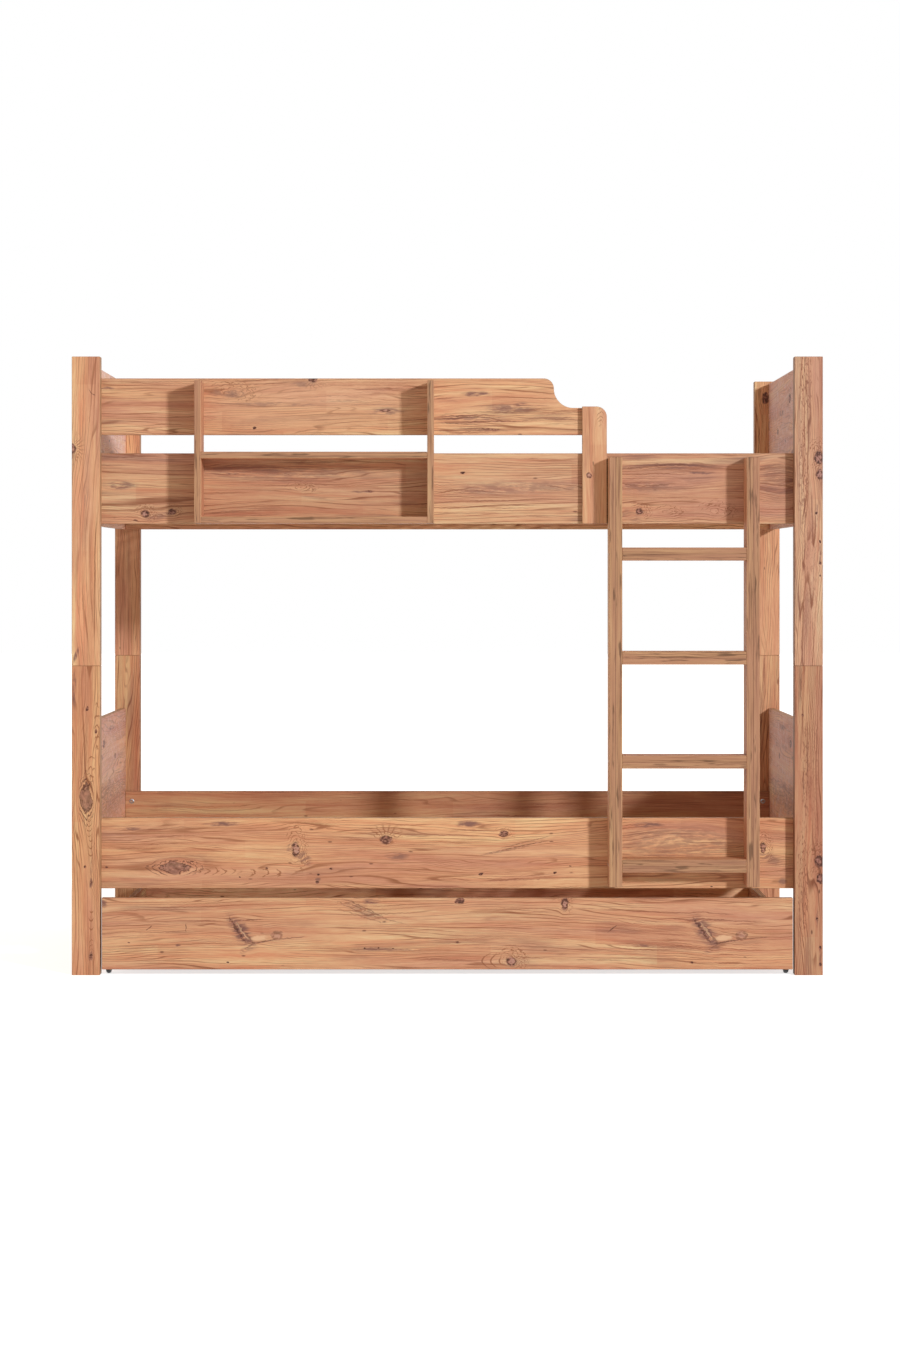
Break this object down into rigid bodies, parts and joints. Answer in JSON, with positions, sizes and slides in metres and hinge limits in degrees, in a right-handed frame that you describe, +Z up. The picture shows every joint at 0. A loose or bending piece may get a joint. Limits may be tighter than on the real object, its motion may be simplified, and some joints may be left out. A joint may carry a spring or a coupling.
{
  "type": "bunk bed with trundle drawer",
  "caption": "Pine-decor bunk bed: stacked beds with slatted bases, a guard board with a shelf unit, a fixed ladder and a trundle drawer on castors.",
  "frame": {"origin": "on the floor, under the middle of the whole bed's bounding box with the shelf unit included", "axes": "+X along the bed towards the ladder end, +Y from the front to the back, +Z up"},
  "size_m": [2.076, 1.0826, 1.7103],
  "materials": {
    "pine_decor": "satin melamine board with a warm pine decor and darker knots",
    "pine_edge": "doubled pine-decor board, mostly seen by its streaked edge band",
    "slat_wood": "planed untreated softwood",
    "steel": "zinc-plated",
    "black_plastic": "moulded, slightly grained",
    "wheel_plastic": "hard smooth tread"
  },
  "bodies": {
    "bed": {"lower_post_front_left": "pine_decor", "lower_post_front_right": "pine_decor", "lower_post_back_left": "pine_decor", "lower_post_back_right": "pine_decor", "upper_post_front_left": "pine_decor", "upper_post_front_right": "pine_decor", "upper_post_back_left": "pine_decor", "upper_post_back_right": "pine_decor", "lower_end_panel_left": "pine_decor", "lower_end_panel_right": "pine_decor", "upper_end_panel_left": "pine_decor", "upper_end_panel_right": "pine_decor", "lower_rail_front": "pine_decor", "lower_rail_back": "pine_decor", "upper_rail_front": "pine_decor", "upper_rail_back": "pine_decor", "lower_ledge_front": "slat_wood", "lower_ledge_back": "slat_wood", "upper_ledge_front": "slat_wood", "upper_ledge_back": "slat_wood", "lower_slat_roll": "slat_wood", "upper_slat_roll": "slat_wood", "post_pin_front_left": "steel", "post_pin_front_right": "steel", "post_pin_back_left": "steel", "post_pin_back_right": "steel", "guard_board": "pine_decor", "guard_upright": "pine_decor", "shelf_side_left": "pine_decor", "shelf_side_right": "pine_decor", "shelf_top": "pine_decor", "shelf_bottom": "pine_decor", "ladder_upright_left": "pine_edge", "ladder_upright_right": "pine_edge", "ladder_rung_1": "pine_edge", "ladder_rung_2": "pine_edge", "ladder_rung_3": "pine_edge", "ladder_rung_4": "pine_edge", "ladder_bolt_lower_left": "steel", "ladder_bolt_lower_right": "steel", "ladder_bolt_upper_left": "steel", "ladder_bolt_upper_right": "steel"},
    "trundle": {"trundle_front": "pine_decor", "trundle_side_left": "pine_decor", "trundle_side_right": "pine_decor", "trundle_back": "pine_decor", "trundle_base": "pine_decor", "trundle_batten": "slat_wood", "castor_fork_front_left": "black_plastic", "castor_fork_front_right": "black_plastic", "castor_fork_back_left": "black_plastic", "castor_fork_back_right": "black_plastic", "castor_axle_front_left": "steel", "castor_axle_front_right": "steel", "castor_axle_back_left": "steel", "castor_axle_back_right": "steel"},
    "wheel_front_left": {"castor_wheel_front_left": "wheel_plastic"},
    "wheel_front_right": {"castor_wheel_front_right": "wheel_plastic"},
    "wheel_back_left": {"castor_wheel_back_left": "wheel_plastic"},
    "wheel_back_right": {"castor_wheel_back_right": "wheel_plastic"}
  },
  "joints": [
    {"name": "trundle_slide", "type": "slide", "parent": "bed", "child": "trundle", "axis": [0, -1, 0], "range_m": [0, 0.85]},
    {"name": "wheel_spin_front_left", "type": "hinge", "parent": "trundle", "child": "wheel_front_left", "pos_m": [-0.94, -0.436, 0.02], "axis": [1, 0, 0], "continuous": true},
    {"name": "wheel_spin_front_right", "type": "hinge", "parent": "trundle", "child": "wheel_front_right", "pos_m": [0.94, -0.436, 0.02], "axis": [1, 0, 0], "continuous": true},
    {"name": "wheel_spin_back_left", "type": "hinge", "parent": "trundle", "child": "wheel_back_left", "pos_m": [-0.94, 0.4027, 0.02], "axis": [1, 0, 0], "continuous": true},
    {"name": "wheel_spin_back_right", "type": "hinge", "parent": "trundle", "child": "wheel_back_right", "pos_m": [0.94, 0.4027, 0.02], "axis": [1, 0, 0], "continuous": true}
  ],
  "couplings": [
    {"joint": "wheel_spin_front_left", "follows": "trundle_slide", "rad_per_m": 50},
    {"joint": "wheel_spin_front_right", "follows": "trundle_slide", "rad_per_m": 50},
    {"joint": "wheel_spin_back_left", "follows": "trundle_slide", "rad_per_m": 50},
    {"joint": "wheel_spin_back_right", "follows": "trundle_slide", "rad_per_m": 50}
  ]
}
